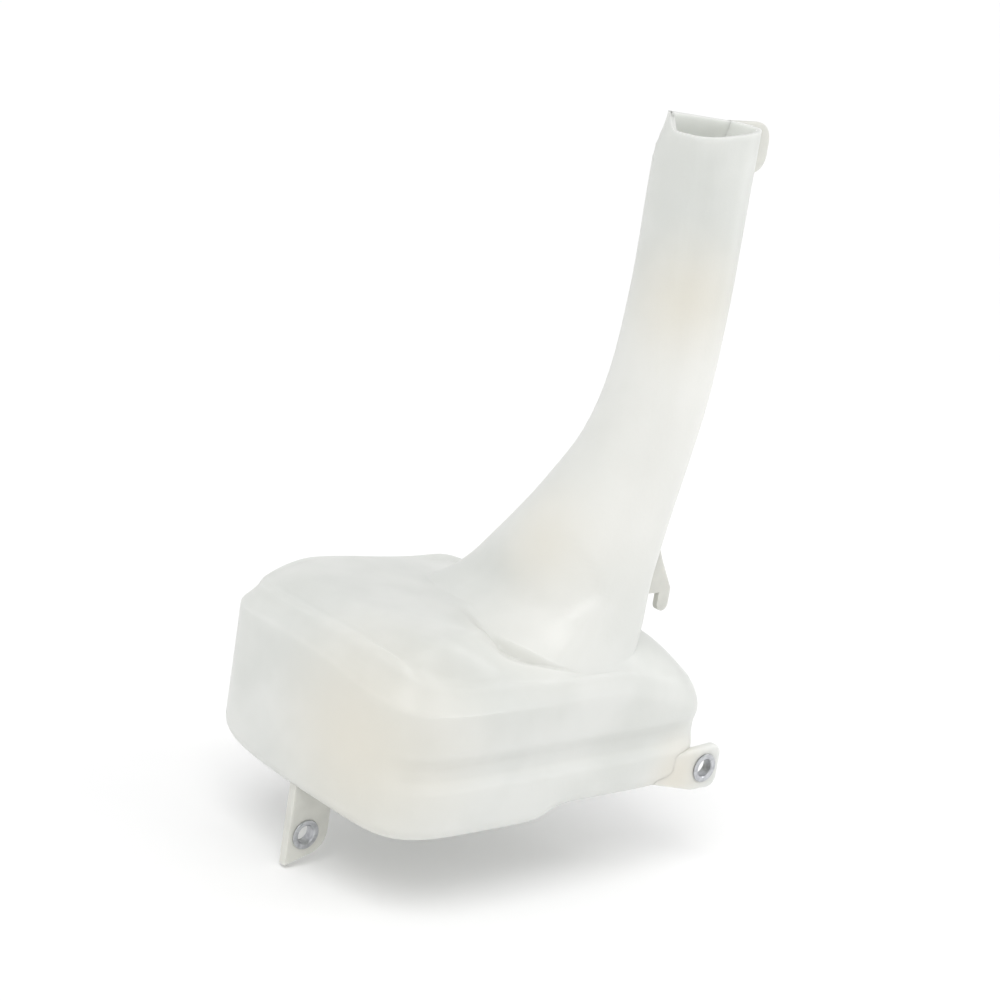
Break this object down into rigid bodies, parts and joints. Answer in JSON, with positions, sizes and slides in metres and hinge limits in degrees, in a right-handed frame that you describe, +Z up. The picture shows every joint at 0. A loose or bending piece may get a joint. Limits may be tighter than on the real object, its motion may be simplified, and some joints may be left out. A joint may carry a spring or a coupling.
{
  "type": "washer fluid reservoir",
  "caption": "Blow-moulded washer fluid tank with a tall flared filler neck, a flat-backed open mouth, mounting ears with steel sleeves and a hose clip.",
  "frame": {"origin": "on the axis of the left sleeve's bore, at the front face of its ear", "axes": "+X along the body towards the neck and the right ear, +Y from the ears' front faces to the back, +Z up along the filler tube, square to the level base"},
  "size_m": [0.2555, 0.1875, 0.454],
  "materials": {
    "natural_polyethylene": "translucent natural white blow-moulded polyethylene, satin",
    "zinc_steel": "zinc-plated steel, satin"
  },
  "bodies": {
    "root": {"tank": "natural_polyethylene", "sleeve_left": "zinc_steel", "sleeve_right": "zinc_steel"}
  },
  "joints": []
}
